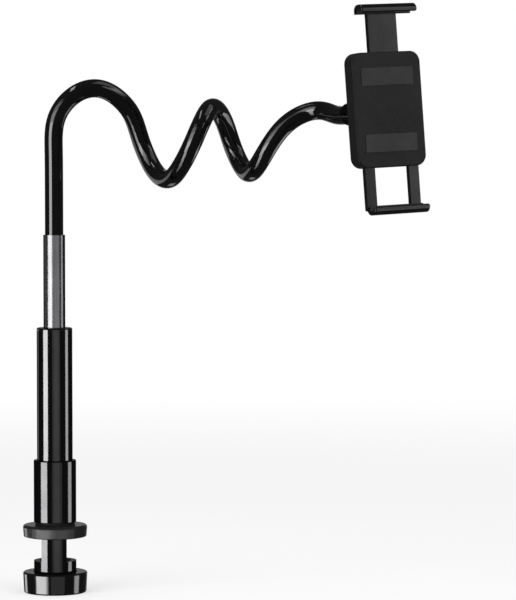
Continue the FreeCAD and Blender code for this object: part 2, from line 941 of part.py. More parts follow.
def neck_stretch(name, low, high, outer, inner=None, tail=0.0):
    """A stretch of the neck between two distances along its way, with a straight tail below the first."""
    solid = rod(neck_way, low, high, outer)
    if inner is not None:
        solid = solid.cut(rod(neck_way, low, high, inner))
    if tail:
        section = math.pi * (outer ** 2 - (inner or 0) ** 2)
        ring = Part.Face(Part.Wire([Part.Circle(mast_end, Vector(0, 0, 1), outer).toShape()]))
        if inner is not None:
            ring = ring.cut(Part.Face(Part.Wire([Part.Circle(mast_end, Vector(0, 0, 1), inner).toShape()])))
        solid = solid.fuse(ring.extrude(Vector(0, 0, -tail))).removeSplitter()
        expected = section * (high - low + tail)
    else:
        expected = math.pi * (outer ** 2 - (inner or 0) ** 2) * (high - low)
    if abs(solid.Volume - expected) > 0.01 * expected:
        raise ValueError("%s has volume %.0f, not %.0f" % (name, solid.Volume, expected))
    item = doc.addObject("Part::Feature", name)
    item.Label = name
    item.Shape = solid.Solids[0]
    return item


def neck():
    """Stretches that keep their shape, and the short bending stretches between them."""
    spacings = [d.second_bend_spacing, d.third_bend_spacing, d.fourth_bend_spacing, d.fifth_bend_spacing]
    bends = [d.first_bend_along.value]
    for spacing in spacings:
        bends.append(bends[-1] + spacing.value)
    half = d.bend_length.value / 2
    outer = d.neck_radius.value
    inner = outer - d.neck_wall.value
    core = core_radius.value
    starts = [0.0] + [bend + half for bend in bends]
    ends = [bend - half for bend in bends] + [neck_way.length]
    stretches = []
    for i, (low, high) in enumerate(zip(starts, ends), 1):
        sleeve_tail = d.neck_insert.value if i == 1 else 0.0
        core_tail = d.core_insert.value if i == 1 else 0.0
        stretches.append(neck_stretch("neck_sleeve_%d" % i, low, high, outer, inner, sleeve_tail))
        stretches.append(neck_stretch("neck_core_%d" % i, low, high, core, None, core_tail))
    for i, bend in enumerate(bends, 1):
        low = bend - half
        high = bend + half
        stretches.append(neck_stretch("neck_bend_%d" % i, low, high, outer, inner))
        stretches.append(neck_stretch("neck_bend_core_%d" % i, low, high, core))
    print("neck length %.1f, tightest bend radius %.1f" % (neck_way.length, neck_way.tightest()))
    return stretches


# Ball head, turned about the stud's axis with depth as height


def neck_end_ferrule():
    front = d.ball_depth + d.stud_length
    step = front + d.ferrule_front
    back = step + d.ferrule_cover
    stud_bore = d.stud_shank_radius + d.fixed_gap
    neck_bore = d.neck_radius + d.fixed_gap
    piece = Piece("neck_end_ferrule", head_place).turned([
        (stud_bore, front),
        (d.ferrule_radius, front, d.ferrule_round),
        (d.ferrule_radius, back, d.ferrule_round),
        (neck_bore, back),
        (neck_bore, step),
        (stud_bore, step),
    ])
    return piece.body


def ball_stud():
    ball = lift(primitive("Sphere", "ball_stud_ball", Radius=d.ball_radius), d.ball_depth)
    stem = primitive("Cylinder", "ball_stud_stem", Radius=d.stud_radius, Height=d.stud_length)
    lift(stem, d.ball_depth)
    shank_height = d.stud_length + d.stud_shank_length
    shank = primitive("Cylinder", "ball_stud_shank", Radius=d.stud_shank_radius, Height=shank_height)
    lift(shank, d.ball_depth)
    item = doc.addObject("Part::MultiFuse", "ball_stud")
    item.Shapes = [ball, stem, shank]
    item.Refine = True
    item.Placement = head_place
    return item


def cut_by_ball(name, base, clearance):
    """The base with the ball's seat cut into it, moved to the head."""
    hollow = primitive("Sphere", name + "_hollow", Radius=d.ball_radius + clearance)
    lift(hollow, d.ball_depth)
    item = doc.addObject("Part::Cut", name)
    item.Base = base
    item.Tool = hollow
    item.Label = name
    item.Placement = head_place
    return item


def cover_outer():
    return d.housing_back + d.back_cover_height


def ball_seat():
    foot = cover_outer() + d.socket_floor + d.running_gap
    height = d.ball_depth - d.seat_rim_drop - foot
    blank = primitive("Cylinder", "ball_seat_blank", Radius=d.socket_radius - d.socket_wall, Height=height)
    lift(blank, foot)
    return cut_by_ball("ball_seat", blank, d.running_gap)


def ball_socket():
    foot = cover_outer()
    flange_top = foot + d.socket_flange_height
    top = d.ball_depth + d.socket_rim
    bore = d.socket_radius - d.socket_wall + d.fixed_gap
    floor = foot + d.socket_floor
    piece = Piece("ball_socket", head_place).turned([
        (0, foot),
        (d.socket_flange_radius, foot),
        (d.socket_flange_radius, flange_top, d.rim_round),
        (d.socket_radius, flange_top),
        (d.socket_radius, top),
        (bore, top),
        (bore, floor),
        (0, floor),
    ])
    reach = d.socket_screw_circle / math.sqrt(2)
    hole = circle(reach, reach, d.socket_screw_radius + d.fixed_gap)
    piece.polar_pocket("XY_Plane", [hole], foot, flange_top, SOCKET_SCREW_COUNT)
    return piece.body


def ball_lock_ring():
    front = cover_outer() + d.socket_flange_height + d.ring_front_gap
    back = d.ball_depth + d.ring_back_depth
    bore = d.socket_radius + d.running_gap
    lip = d.ball_depth + d.ring_lip_start
    throat = d.ball_depth + d.ring_throat_depth
    piece = Piece("ball_lock_ring_blank").turned([
        (bore, front),
        (d.ring_radius - d.ring_chamfer, front),
        (d.ring_radius, front + d.ring_chamfer),
        (d.ring_radius, back - d.ring_chamfer),
        (d.ring_radius - d.ring_chamfer, back),
        (d.ring_mouth_radius, back),
        (d.ring_throat_radius, throat),
        (d.ring_throat_radius, lip),
        (bore, lip),
    ])
    reach = d.ring_radius + d.flute_radius - d.flute_depth
    flute = circle(reach, 0, d.flute_radius)
    piece.polar_pocket("XY_Plane", [flute], front - SLOT_MARGIN, back + SLOT_MARGIN, FLUTE_COUNT)
    return cut_by_ball("ball_lock_ring", piece.body, d.running_gap)


def socket_screws():
    reach = d.socket_screw_circle.value / math.sqrt(2)
    places = [(reach * sx, reach * sy) for sx, sy in CORNERS]
    head_foot = cover_outer() + d.socket_flange_height
    head_top = head_foot + d.socket_screw_head_height
    return screw_set(
        "socket_screws", places, d.socket_screw_radius, d.socket_screw_head,
        head_foot, head_top, head_foot - d.socket_screw_length, head_place,
    )


# Holder, in its own frame: X across, Y away from the tablet's face, Z up


def housing_outline(inset, corner):
    width = d.housing_half_width - inset
    height = d.housing_half_height - inset
    return box(-width, width, -height, height, corner)


def mirrored(low, high, low_up, high_up):
    """Two rectangles, one on each side."""
    return [box(low, high, low_up, high_up), box(-high, -low, low_up, high_up)]


def holder_front_cover():
    piece = Piece("holder_front_cover", holder_place)
    face = d.housing_face
    wall = d.housing_wall
    inside = face + wall
    half_height = d.housing_half_height
    room = half_height - wall
    piece.pad("XZ_Plane", [housing_outline(0, d.housing_corner)], face, d.housing_back)
    piece.fillet(d.housing_edge_round, lambda edge: edge_at_depth(edge, face))
    room_outline = housing_outline(wall, d.housing_corner - wall)
    piece.pocket("XZ_Plane", [room_outline], inside, d.housing_back)
    rails = []
    tongue_side = d.tongue_half_width + d.slide_gap
    prong_side = d.prong_outer + d.slide_gap
    rails += mirrored(tongue_side, tongue_side + d.rail_width, -room, room)
    rails += mirrored(prong_side, prong_side + d.rail_width, -room, room)
    piece.pad("XZ_Plane", rails, inside, inside + d.rail_depth)
    bosses = at_corners(d.boss_across, d.boss_up, d.boss_radius)
    for boss in bosses:
        piece.pad("XZ_Plane", [boss], inside, d.housing_back)
    holes = at_corners(d.boss_across, d.boss_up, d.cover_screw_radius + d.fixed_gap)
    piece.pocket("XZ_Plane", holes, inside, d.housing_back)
    low = d.arm_front - d.slide_gap
    high = arm_back + d.slide_gap
    piece.pocket("XZ_Plane", [box(-tongue_side, tongue_side, room - SLOT_MARGIN, half_height + SLOT_MARGIN)],
                 low, high)
    prong_slots = mirrored(d.prong_inner - d.slide_gap, prong_side, -half_height - SLOT_MARGIN,
                           SLOT_MARGIN - room)
    piece.pocket("XZ_Plane", prong_slots, low, high)
    recess = face_pad_outlines(d.fixed_gap)
    piece.pocket("XZ_Plane", recess, face, face + d.face_pad_recess)
    return piece.body


def at_corners(across, up, radius):
    """The same circle in each of the four corners."""
    return [circle(across * sx, up * sz, radius) for sx, sz in CORNERS]


def edge_at_depth(edge, depth):
    """True for an edge that lies in the plane at that depth of an unplaced holder piece."""
    return all(abs(vertex.Y - number(depth)) < 1e-4 for vertex in edge.Vertexes)


def face_pad_outlines(gap):
    half = d.face_pad_half_width + gap
    low = d.face_pad_low - gap
    high = d.face_pad_high + gap
    return [box(-half, half, low, high), box(-half, half, -high, -low)]


def holder_pads():
    strips = []
    for outline in face_pad_outlines(0):
        strip = Piece("face_pad_strip")
        strip.pad("XZ_Plane", [outline], d.tablet_half_depth, d.housing_face + d.face_pad_recess)
        strips.append(strip.body)
    item = doc.addObject("Part::Compound", "holder_pads")
    item.Links = strips
    item.Label = "holder_pads"
    item.Placement = holder_place
    return item


def holder_back_cover():
    piece = Piece("holder_back_cover", holder_place)
    outer = cover_outer()
    piece.pad("XZ_Plane", [housing_outline(0, d.housing_corner)], d.housing_back, outer)
    piece.fillet(d.cover_edge_round, lambda edge: edge_at_depth(edge, outer))
    reach = d.socket_screw_circle / math.sqrt(2)
    for boss in at_corners(reach, reach, d.socket_boss_radius):
        piece.pad("XZ_Plane", [boss], d.housing_back - d.socket_boss_length, d.housing_back)
    post_foot = d.housing_back - d.post_length
    prong_middle = (d.prong_inner + d.prong_outer) / 2
    posts = [circle(0, -d.anchor_post_height, d.post_radius)]
    posts += [circle(prong_middle, d.anchor_post_height, d.post_radius)]
    posts += [circle(-prong_middle, d.anchor_post_height, d.post_radius)]
    for post in posts:
        piece.pad("XZ_Plane", [post], post_foot, d.housing_back)
    screw_holes = at_corners(reach, reach, d.socket_screw_radius + d.fixed_gap)
    piece.pocket("XZ_Plane", screw_holes, d.housing_back - d.socket_boss_length, outer)
    holes = at_corners(d.boss_across, d.boss_up, d.cover_screw_radius + d.fixed_gap)
    piece.pocket("XZ_Plane", holes, d.housing_back, outer)
    sinks = at_corners(d.boss_across, d.boss_up, d.cover_screw_head + d.fixed_gap)
    piece.pocket("XZ_Plane", sinks, outer - d.cover_screw_sink, outer)
    return piece.body


def holder_screws():
    places = [(d.boss_across.value * sx, d.boss_up.value * sy) for sx, sy in CORNERS]
    outer = cover_outer()
    return screw_set(
        "holder_screws", places, d.cover_screw_radius, d.cover_screw_head,
        outer - d.cover_screw_sink, outer, outer - d.cover_screw_length, head_place,
    )


def jaw_outline():
    """Hook of the jaw, in depth and height."""
    front = -d.jaw_front
    top = tablet_edge + d.jaw_top
    lip = tablet_edge - d.jaw_lip_overlap
    back_low = tablet_edge - d.jaw_back_overlap
    back = d.jaw_back_face + d.jaw_wall
    return [
        (front, lip, d.jaw_lip_round),
        (front, top, d.jaw_front_round),
        (back, top, d.jaw_back_round),
        (back, back_low),
        (d.jaw_back_face, back_low),
        (d.jaw_back_face, jaw_roof),
        (front + d.jaw_wall, jaw_roof),
        (front + d.jaw_wall, lip),
    ]


def jaw_pad_outline():
    """Rubber lining of the jaw: a strip under its roof and a leg along each wall."""
    thick = d.jaw_pad_wall
    front = d.jaw_wall + d.fixed_gap - d.jaw_front
    back = d.jaw_back_face - d.fixed_gap
    roof = jaw_roof - d.fixed_gap
    front_end = tablet_edge - d.jaw_lip_overlap + d.jaw_pad_inset
    back_end = tablet_edge - d.jaw_back_overlap
    return [
        (front, roof),
        (back, roof),
        (back, back_end),
        (back - thick, back_end),
        (back - thick, roof - thick),
        (front + thick, roof - thick),
        (front + thick, front_end),
        (front, front_end),
    ]


def edge_middle(edge):
    return edge.valueAt((edge.FirstParameter + edge.LastParameter) / 2)


def jaw_end(edge):
    """True for an outer edge of the jaw's end faces."""
    limit = d.jaw_half_width.value
    if any(abs(abs(vertex.X) - limit) > 1e-4 for vertex in edge.Vertexes):
        return False
    middle = edge_middle(edge)
    if abs(abs(middle.x) - limit) > 1e-4:
        return False
    in_front = middle.y < (d.jaw_wall / 2 - d.jaw_front).value
    above = abs(middle.z) > (jaw_roof + d.jaw_top / 4).value
    return in_front or above


def jaw(name, place):
    """A jaw with rounded ends, hooked downwards."""
    piece = Piece(name, place)
    piece.pad("YZ_Plane", [jaw_outline()], -d.jaw_half_width, d.jaw_half_width)
    piece.fillet(d.jaw_end_round, jaw_end)
    return piece


def spring_post(piece, across):
    piece.pad("XZ_Plane", [circle(across, d.arm_post_height, d.post_radius)], arm_back, arm_post_end)


def upper_arm():
    piece = jaw("upper_arm", holder_place)
    top = tablet_edge + d.jaw_top - d.arm_top_margin
    tongue = box(-d.tongue_half_width, d.tongue_half_width, -d.arm_inner_end, top, d.arm_corner)
    piece.pad("XZ_Plane", [tongue], d.arm_front, arm_back)
    spring_post(piece, 0)
    return piece.body


def lower_arm():
    piece = jaw("lower_arm", turned_over)
    top = tablet_edge + d.jaw_top - d.arm_top_margin
    root = tablet_edge - d.jaw_back_overlap
    bridge = box(-d.prong_outer, d.prong_outer, root, top, d.arm_corner)
    piece.pad("XZ_Plane", [bridge], d.arm_front, arm_back)
    for low, high in ((d.prong_inner, d.prong_outer), (-d.prong_outer, -d.prong_inner)):
        prong = box(low, high, -d.arm_inner_end, root + d.jaw_wall)
        piece.pad("XZ_Plane", [prong], d.arm_front, arm_back)
        spring_post(piece, (low + high) / 2)
    return piece.body


def jaw_pad(name, place):
    half = d.jaw_half_width - d.jaw_pad_end_gap
    piece = Piece(name, place)
    piece.pad("YZ_Plane", [jaw_pad_outline()], -half, half)
    return piece.body


def extension_spring(across, low, high):
    """Coil body as a closed tube, with a flat eye round the post at each end."""
    depth = d.spring_depth.value
    eye = d.spring_eye.value
    thickness = d.spring_eye_thickness.value
    hole = (d.post_radius + d.post_gap).value
    overlap = d.spring_wire.value / 2
    start = low + eye - overlap
    length = high - low - 2 * (eye - overlap)
    foot = Vector(across, depth, start)
    coil = Part.makeCylinder(d.spring_radius.value, length, foot)
    bore = Part.makeCylinder((d.spring_radius - d.spring_wire).value, length, foot)
    solid = coil.cut(bore)
    for height in (low, high):
        front = Vector(across, depth - thickness / 2, height)
        back = Vector(0, 1, 0)
        ring = Part.makeCylinder(eye, thickness, front, back)
        ring = ring.cut(Part.makeCylinder(hole, thickness, front, back))
        solid = solid.fuse(ring)
    return solid.removeSplitter().Solids[0]


def spring_set(name, places):
    item = doc.addObject("Part::Feature", name)
    item.Label = name
    springs = [extension_spring(*place) for place in places]
    item.Shape = springs[0] if len(springs) == 1 else Part.makeCompound(springs)
    item.Placement = holder_place
    return item


def upper_arm_spring():
    return spring_set("upper_arm_spring", [(0, -d.anchor_post_height.value, d.arm_post_height.value)])


def lower_arm_springs():
    middle = ((d.prong_inner + d.prong_outer) / 2).value
    low = -d.arm_post_height.value
    high = d.anchor_post_height.value
    return spring_set("lower_arm_springs", [(middle, low, high), (-middle, low, high)])


# Build every piece, check it and write it

pieces = [
    clamp_body(), upper_flange(), upper_flange_pad(), plunger(), plunger_pad(), clamp_screw(),
    guide_screw(), end_ring(), thrust_washer(), knob_hub(), knob(), knob_screws(),
    swivel_washer(), lower_sleeve(), mast_tube(), mast_top_cap(), mast_bush(), swivel_disc(),
    swivel_bolt(), inner_tube(), inner_tube_bush(), neck_anchor_plug(),
    neck_end_ferrule(), ball_stud(), ball_seat(), ball_socket(), ball_lock_ring(), socket_screws(),
    holder_front_cover(), holder_pads(), holder_back_cover(), holder_screws(),
    upper_arm(), lower_arm(), jaw_pad("upper_jaw_pad", holder_place), jaw_pad("lower_jaw_pad", turned_over),
    upper_arm_spring(), lower_arm_springs(),
] + neck()

doc.recompute()
faulty = [item.Name for item in doc.Objects if "Invalid" in item.State or "Error" in item.State]
if faulty:
    raise ValueError("failed objects: " + ", ".join(faulty))
for item in pieces:
    if item.Shape.isNull() or not item.Shape.isValid():
        raise ValueError("bad shape: " + item.Label)
for item in pieces:
    item.Shape.exportStep("parts/%s.step" % item.Label)
print("pieces", len(pieces))
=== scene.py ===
import json
import math

import bpy
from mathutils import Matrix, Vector


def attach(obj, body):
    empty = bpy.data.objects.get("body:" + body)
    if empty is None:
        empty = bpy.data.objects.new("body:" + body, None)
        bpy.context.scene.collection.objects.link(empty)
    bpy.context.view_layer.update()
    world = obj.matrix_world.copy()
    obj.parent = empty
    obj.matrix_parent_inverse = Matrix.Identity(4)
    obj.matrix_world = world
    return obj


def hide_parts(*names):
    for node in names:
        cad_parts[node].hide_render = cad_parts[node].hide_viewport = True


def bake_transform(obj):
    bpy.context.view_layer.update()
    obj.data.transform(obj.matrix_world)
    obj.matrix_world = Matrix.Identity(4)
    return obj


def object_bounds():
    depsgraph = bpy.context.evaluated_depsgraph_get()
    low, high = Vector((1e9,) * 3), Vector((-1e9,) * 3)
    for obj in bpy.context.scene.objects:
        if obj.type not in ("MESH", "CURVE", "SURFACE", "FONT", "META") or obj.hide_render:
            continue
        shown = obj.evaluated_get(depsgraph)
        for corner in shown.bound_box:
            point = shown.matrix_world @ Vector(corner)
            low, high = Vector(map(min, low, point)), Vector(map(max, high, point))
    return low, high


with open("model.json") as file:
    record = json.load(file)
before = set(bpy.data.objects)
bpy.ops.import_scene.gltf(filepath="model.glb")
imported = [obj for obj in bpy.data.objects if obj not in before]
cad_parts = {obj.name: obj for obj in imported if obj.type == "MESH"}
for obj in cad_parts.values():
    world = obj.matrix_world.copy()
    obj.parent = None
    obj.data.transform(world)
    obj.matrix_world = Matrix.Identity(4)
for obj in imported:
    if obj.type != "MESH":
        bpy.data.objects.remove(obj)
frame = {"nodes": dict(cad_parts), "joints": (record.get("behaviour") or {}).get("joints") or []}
nodes = frame["nodes"]
cad_box = [list(corner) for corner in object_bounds()]
scene = bpy.context.scene

# Camera at the photograph's angle, for an image of 516 by 600

CAMERA_PLACE = Vector((0.1917, -3.102, 0.390))
CAMERA_AIM = Vector((0.1917, 0.0, 0.2237))
SENSOR_HEIGHT = 36.0
LENS = 198.0
CLIP_START = 0.05
CLIP_END = 60.0

camera_data = bpy.data.cameras.new("camera")
camera_data.sensor_fit = "VERTICAL"
camera_data.sensor_height = SENSOR_HEIGHT
camera_data.lens = LENS
camera_data.clip_start = CLIP_START
camera_data.clip_end = CLIP_END
camera = bpy.data.objects.new("camera", camera_data)
scene.collection.objects.link(camera)
camera.location = CAMERA_PLACE
camera.rotation_mode = "QUATERNION"
camera.rotation_quaternion = (CAMERA_AIM - CAMERA_PLACE).to_track_quat("-Z", "Y")
scene.camera = camera


# Materials

NOISE_RANGE = (0.3, 0.7)
GRAZING_TINT = (0.4, 0.4, 0.4, 1)


def shader_node(tree, kind, **settings):
    node = tree.nodes.new("ShaderNode" + kind)
    for name, value in settings.items():
        setattr(node, name, value)
    return node


def noise(tree, grain, stretch=None):
    """Noise over the object; grain is its scale and detail, and stretch scales its axes."""
    place = shader_node(tree, "TexCoord").outputs["Object"]
    if stretch:
        mapping = shader_node(tree, "Mapping")
        mapping.inputs["Scale"].default_value = stretch
        tree.links.new(place, mapping.inputs["Vector"])
        place = mapping.outputs["Vector"]
    pattern = shader_node(tree, "TexNoise")
    pattern.inputs["Scale"].default_value, pattern.inputs["Detail"].default_value = grain
    tree.links.new(place, pattern.inputs["Vector"])
    return pattern.outputs["Fac"]


def ranged(tree, value, source, target):
    """The value carried from the source's range to the target's."""
    node = shader_node(tree, "MapRange")
    node.inputs["From Min"].default_value, node.inputs["From Max"].default_value = source
    node.inputs["To Min"].default_value, node.inputs["To Max"].default_value = target
    tree.links.new(value, node.inputs["Value"])
    return node.outputs["Result"]


def finish(name, mottle, colours, grain, roughness, relief=None, bump=None, stretch=None, **inputs):
    """A Principled material whose colour, roughness and relief follow noise.

    mottle is the noise between the two colours, grain the one between the two roughnesses, and
    relief the one whose height bump turns into strength and distance. stretch draws out the
    grain, which is then the relief too. inputs are the shader's other values.
    """
    material = bpy.data.materials.new(name)
    material.use_nodes = True
    tree = material.node_tree
    shader = tree.nodes["Principled BSDF"]
    for socket, value in inputs.items():
        shader.inputs[socket.replace("_", " ")].default_value = value
    tint = shader_node(tree, "Mix", data_type="RGBA")
    tint.inputs["A"].default_value = (*colours[0], 1)
    tint.inputs["B"].default_value = (*colours[1], 1)
    share = ranged(tree, noise(tree, mottle), NOISE_RANGE, (0.0, 1.0))
    tree.links.new(share, tint.inputs["Factor"])
    tree.links.new(tint.outputs["Result"], shader.inputs["Base Color"])
    marks = noise(tree, grain, stretch)
    tree.links.new(ranged(tree, marks, NOISE_RANGE, roughness), shader.inputs["Roughness"])
    if bump:
        dents = shader_node(tree, "Bump")
        dents.inputs["Strength"].default_value, dents.inputs["Distance"].default_value = bump
        height = marks if stretch else noise(tree, relief)
        tree.links.new(height, dents.inputs["Height"])
        tree.links.new(dents.outputs["Normal"], shader.inputs["Normal"])
    return material


# Gloss and satin enamel on steel, plated tube with marks drawn along it, and moulded plastics
finishes = {
    "black_enamel": finish(
        "gloss_black", mottle=(35.0, 3.0), colours=((0.095, 0.095, 0.098), (0.105, 0.105, 0.108)),
        grain=(60.0, 5.0), roughness=(0.07, 0.13), relief=(420.0, 2.0), bump=(0.05, 0.0003),
        Metallic=1.0, Specular_Tint=GRAZING_TINT,
    ),
    "steel_tube": finish(
        "tube_steel", mottle=(25.0, 3.0), colours=((0.095, 0.095, 0.099), (0.125, 0.125, 0.13)),
        grain=(1.0, 4.0), roughness=(0.17, 0.24), bump=(0.12, 0.0003),
        stretch=(900.0, 900.0, 14.0), Metallic=1.0, Specular_Tint=GRAZING_TINT,
    ),
    "zinc_steel": finish(
        "zinc_plate", mottle=(140.0, 5.0), colours=((0.42, 0.43, 0.45), (0.56, 0.56, 0.57)),
        grain=(320.0, 4.0), roughness=(0.26, 0.4), relief=(700.0, 3.0), bump=(0.15, 0.0003),
        Metallic=1.0,
    ),
    "black_gloss_plastic": finish(
        "gloss_plastic", mottle=(28.0, 3.0),
        colours=((0.003, 0.003, 0.0032), (0.005, 0.005, 0.0053)),
        grain=(45.0, 4.0), roughness=(0.09, 0.15), relief=(160.0, 2.0), bump=(0.03, 0.0005),
        IOR=1.9,
    ),
    "neck_sleeve_black": finish(
        "neck_sleeve", mottle=(40.0, 3.0), colours=((0.002, 0.002, 0.0022), (0.004, 0.004, 0.0044)),
        grain=(70.0, 4.0), roughness=(0.04, 0.08), relief=(120.0, 2.0), bump=(0.012, 0.0005),
        IOR=1.9,
    ),
    "core_alloy": finish(
        "core_alloy", mottle=(120.0, 5.0), colours=((0.58, 0.58, 0.6), (0.68, 0.68, 0.7)),
        grain=(260.0, 4.0), roughness=(0.34, 0.48), Metallic=1.0,
    ),
    "black_satin_plastic": finish(
        "satin_plastic", mottle=(30.0, 3.0), colours=((0.014, 0.014, 0.015), (0.022, 0.022, 0.023)),
        grain=(300.0, 4.0), roughness=(0.36, 0.5), relief=(1600.0, 3.0), bump=(0.5, 0.0004),
    ),
    "nylon": finish(
        "natural_nylon", mottle=(90.0, 3.0), colours=((0.53, 0.51, 0.46), (0.6, 0.59, 0.55)),
        grain=(240.0, 4.0), roughness=(0.4, 0.52), relief=(500.0, 3.0), bump=(0.15, 0.0003),
        IOR=1.53,
    ),
    "black_rubber": finish(
        "black_rubber", mottle=(60.0, 4.0), colours=((0.016, 0.016, 0.016), (0.026, 0.026, 0.026)),
        grain=(420.0, 4.0), roughness=(0.62, 0.78), relief=(1300.0, 3.0), bump=(0.4, 0.0004),
    ),
    "grey_rubber": finish(
        "grey_rubber", mottle=(60.0, 4.0), colours=((0.045, 0.045, 0.047), (0.06, 0.06, 0.062)),
        grain=(420.0, 4.0), roughness=(0.62, 0.78), relief=(1300.0, 3.0), bump=(0.4, 0.0004),
    ),
    "spring_steel": finish(
        "spring_wire", mottle=(400.0, 4.0), colours=((0.36, 0.36, 0.37), (0.46, 0.46, 0.48)),
        grain=(500.0, 4.0), roughness=(0.22, 0.34), Metallic=1.0,
    ),
}
for node in nodes.values():
    slot = node.data.materials[0].name.split(".")[0]
    node.data.materials[0] = finishes[slot]

# The flange's rim is satin under a thin coat, unlike the gloss of the tubes beside it
nodes["upper_flange"].data.materials[0] = finish(
    "satin_enamel", mottle=(35.0, 3.0), colours=((0.010, 0.010, 0.0105), (0.016, 0.016, 0.017)),
    grain=(80.0, 5.0), roughness=(0.52, 0.62), relief=(900.0, 3.0), bump=(0.2, 0.0003),
    Specular_IOR_Level=1.0, Coat_Weight=1.0, Coat_IOR=1.3, Coat_Roughness=0.16,
)


# Tubes of mesh, for the neck's skins and the springs


def upright_to(heading, side):
    """The side turned square to the heading."""
    return (side - heading * side.dot(heading)).normalized()


def spokes(heading, side, count):
    """Unit vectors round the heading, from the side on."""
    other = heading.cross(side)
    turns = [2 * math.pi * j / count for j in range(count)]
    return [side * math.cos(turn) + other * math.sin(turn) for turn in turns]


def tube_faces(rings, around, first=0):
    """The sides and then both ends of a closed tube of rings, from the first point on."""
    faces = []
    for i in range(rings - 1):
        row = first + i * around
        for j in range(around):
            k = (j + 1) % around
            faces.append((row + j, row + k, row + around + k, row + around + j))
    last = first + (rings - 1) * around
    faces.append(tuple(reversed(range(first, first + around))))
    faces.append(tuple(range(last, last + around)))
    return faces


def smooth_piece(name, points, faces, slot):
    mesh = bpy.data.meshes.new(name)
    mesh.from_pydata(points, [], faces)
    mesh.polygons.foreach_set("use_smooth", [True] * len(faces))
    mesh.materials.append(finishes[slot])
    piece = bpy.data.objects.new(name, mesh)
    scene.collection.objects.link(piece)
    return piece


# Gooseneck: a smooth sleeve on the neck's centre line, whose route is in millimetres from the mast

MAST_END = Vector((0, 0, 0.285))
NECK_END = Vector((0.285, -0.077, 0.3992))
UP = Vector((0, 0, 1))
FACING = Vector((0.48535, -0.87200, 0.06366)).normalized()
END_RUN = 0.038
NECK_RADIUS = 0.00865
NECK_INSERT = 0.03
BEND_HALF = 0.014
BENDS = (0.075, 0.244, 0.344, 0.466, 0.568)
NECK_ROUTE = (
    (0, 0, 97), (11, 4, 124), (39, 14, 138), (65, 26, 123), (84, 35, 79),
    (93, 26, 61), (107, 4, 52), (119, -18, 64), (128, -27, 80), (140, -22, 107),
    (149, 0, 120), (159, 24, 108), (169, 36, 79), (176, 27, 65), (184, 6, 58),
    (193, -14, 68), (203, -19, 85), (222, -17, 107), (245, -19, 117),
)
STRAIGHT_ANGLE = 1e-4
STRAIGHT_BEND = 1e-9
LINE_STEP = 0.001
EASING_STEPS = 12
EASING_REACH = 4 * EASING_STEPS
SKIN_STEP = 0.0012
SKIN_AROUND = 72


def heading_through(before, here, after):
    arriving = here - before
    leaving = after - here
    blend = arriving.normalized() * leaving.length + leaving.normalized() * arriving.length
    return blend.normalized()


def arc(start, heading, end):
    """(length, place) of the tangent arc from start to end; place(s) is its point at s."""
    chord = end - start
    half = heading.angle(chord)
    if half < STRAIGHT_ANGLE:
        return chord.length, lambda s: start + heading * s
    radius = chord.length / 2 / math.sin(half)
    inward = (chord - heading * heading.dot(chord)).normalized()

    def place(s):
        turn = s / radius
        across = inward * (radius * (1 - math.cos(turn)))
        return start + heading * (radius * math.sin(turn)) + across

    return 2 * half * radius, place


def two_arcs(start, first, end, last):
    """The pair of arcs that leaves start along first and reaches end along last."""
    chord = end - start
    both = first + last
    bend = 2 * (1 - first.dot(last))
    if bend < STRAIGHT_BEND:
        return [arc(start, first, end)]
    along = chord.dot(both)
    reach = (math.sqrt(along ** 2 + bend * chord.dot(chord)) - along) / bend
    near = start + first * reach
    far = end - last * reach
    middle = (near + far) / 2
    return [arc(start, first, middle), arc(middle, (far - near).normalized(), end)]


def neck_arcs():
    points = [MAST_END] + [MAST_END + Vector(p) / 1000 for p in NECK_ROUTE]
    points += [NECK_END - FACING * END_RUN, NECK_END]
    headings = [UP, UP]
    for i in range(2, len(points) - 2):
        headings.append(heading_through(points[i - 1], points[i], points[i + 1]))
    headings += [FACING, FACING]
    arcs = []
    for i in range(len(points) - 1):
        arcs += two_arcs(points[i], headings[i], points[i + 1], headings[i + 1])
    return arcs


ARCS = neck_arcs()
NECK_LENGTH = sum(length for length, place in ARCS)


def on_arcs(distance):
    for length, place in ARCS:
        if distance <= length or place is ARCS[-1][1]:
            return place(distance)
        distance -= length


def spread(points):
    """The points averaged with their neighbours under a bell curve; both ends run on straight."""
    steps = range(-EASING_REACH, EASING_REACH + 1)
    weights = [math.exp(-0.5 * (i / EASING_STEPS) ** 2) for i in steps]
    total = sum(weights)
    before = [points[0] + (points[0] - points[1]) * i for i in range(EASING_REACH, 0, -1)]
    after = [points[-1] + (points[-1] - points[-2]) * i for i in range(1, EASING_REACH + 1)]
    row = before + points + after
    eased = []
    for i in range(len(points)):
        near = row[i:i + len(weights)]
        eased.append(sum((p * w for p, w in zip(near, weights)), Vector()) / total)
    return eased


def eased_line():
    """The arcs' line moved by less than a millimetre, so that its bends flow into one another."""
    count = math.floor(NECK_LENGTH / LINE_STEP)
    points = [on_arcs(i * LINE_STEP) for i in range(count + 1)]
    once = spread(points)
    twice = spread(once)
    return [a * 2 - b for a, b in zip(once, twice)]


LINE = eased_line()


def on_neck(distance):
    """(point, heading) at a distance along the neck's line."""
    place = distance / LINE_STEP
    i = min(max(int(place), 1), len(LINE) - 3)
    part = place - i
    point = LINE[i].lerp(LINE[i + 1], part)
    here = (LINE[i + 1] - LINE[i - 1]).normalized()
    following = (LINE[i + 2] - LINE[i]).normalized()
    return point, here.lerp(following, part).normalized()


